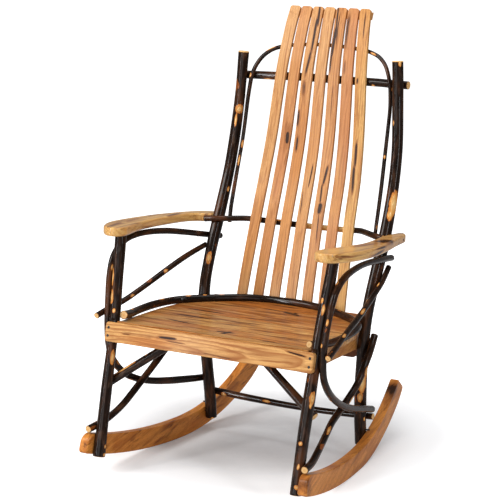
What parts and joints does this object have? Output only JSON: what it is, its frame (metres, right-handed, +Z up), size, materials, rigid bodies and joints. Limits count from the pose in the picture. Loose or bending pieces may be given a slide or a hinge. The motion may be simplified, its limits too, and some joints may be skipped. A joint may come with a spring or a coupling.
{
  "type": "rocking chair",
  "caption": "Rustic rocking chair of bark-on hickory poles with flat slatted seat, tall fanned slat back, paddle arms and wooden rockers.",
  "frame": {"origin": "floor level, centre of the chair's bounding box seen from above", "axes": "+Z up, -Y the way the sitter faces, +X towards the sitter's left"},
  "size_m": [0.7318, 0.7609, 1.145],
  "materials": {
    "hickory_bark": "varnished bark, glossy, with bare knots",
    "slat_hickory": "satin varnish",
    "seat_hickory": "satin varnish",
    "arm_hickory": "satin varnish",
    "rail_hickory": "satin varnish",
    "rocker_hickory": "satin varnish",
    "screw_steel": "black oxide"
  },
  "bodies": {
    "root": {"apron_screws": "screw_steel", "arm_screws": "screw_steel", "armrest_l": "arm_hickory", "armrest_r": "arm_hickory", "back_arch": "hickory_bark", "back_slat_1": "slat_hickory", "back_slat_2": "slat_hickory", "back_slat_3": "slat_hickory", "back_slat_4": "slat_hickory", "back_slat_5": "slat_hickory", "back_slat_6": "slat_hickory", "back_slat_7": "slat_hickory", "front_brace_l": "hickory_bark", "front_brace_r": "hickory_bark", "front_leg_l": "hickory_bark", "front_leg_r": "hickory_bark", "lower_brace_l": "hickory_bark", "lower_brace_r": "hickory_bark", "lumbar_rail": "hickory_bark", "rear_post_l": "hickory_bark", "rear_post_r": "hickory_bark", "rear_seat_rail": "rail_hickory", "rear_stretcher": "hickory_bark", "rocker_l": "rocker_hickory", "rocker_r": "rocker_hickory", "rocker_screws": "screw_steel", "seat_front_board": "seat_hickory", "seat_hoop": "hickory_bark", "seat_slat_1": "seat_hickory", "seat_slat_2": "seat_hickory", "seat_slat_3": "seat_hickory", "seat_slat_4": "seat_hickory", "seat_slat_5": "seat_hickory", "seat_slat_6": "seat_hickory", "seat_slat_7": "seat_hickory", "side_hoop_l": "hickory_bark", "side_hoop_r": "hickory_bark", "side_seat_rail_l": "seat_hickory", "side_seat_rail_r": "seat_hickory", "top_back_rail": "hickory_bark", "top_batten": "slat_hickory", "upper_brace_l": "hickory_bark", "upper_brace_r": "hickory_bark"}
  },
  "joints": []
}
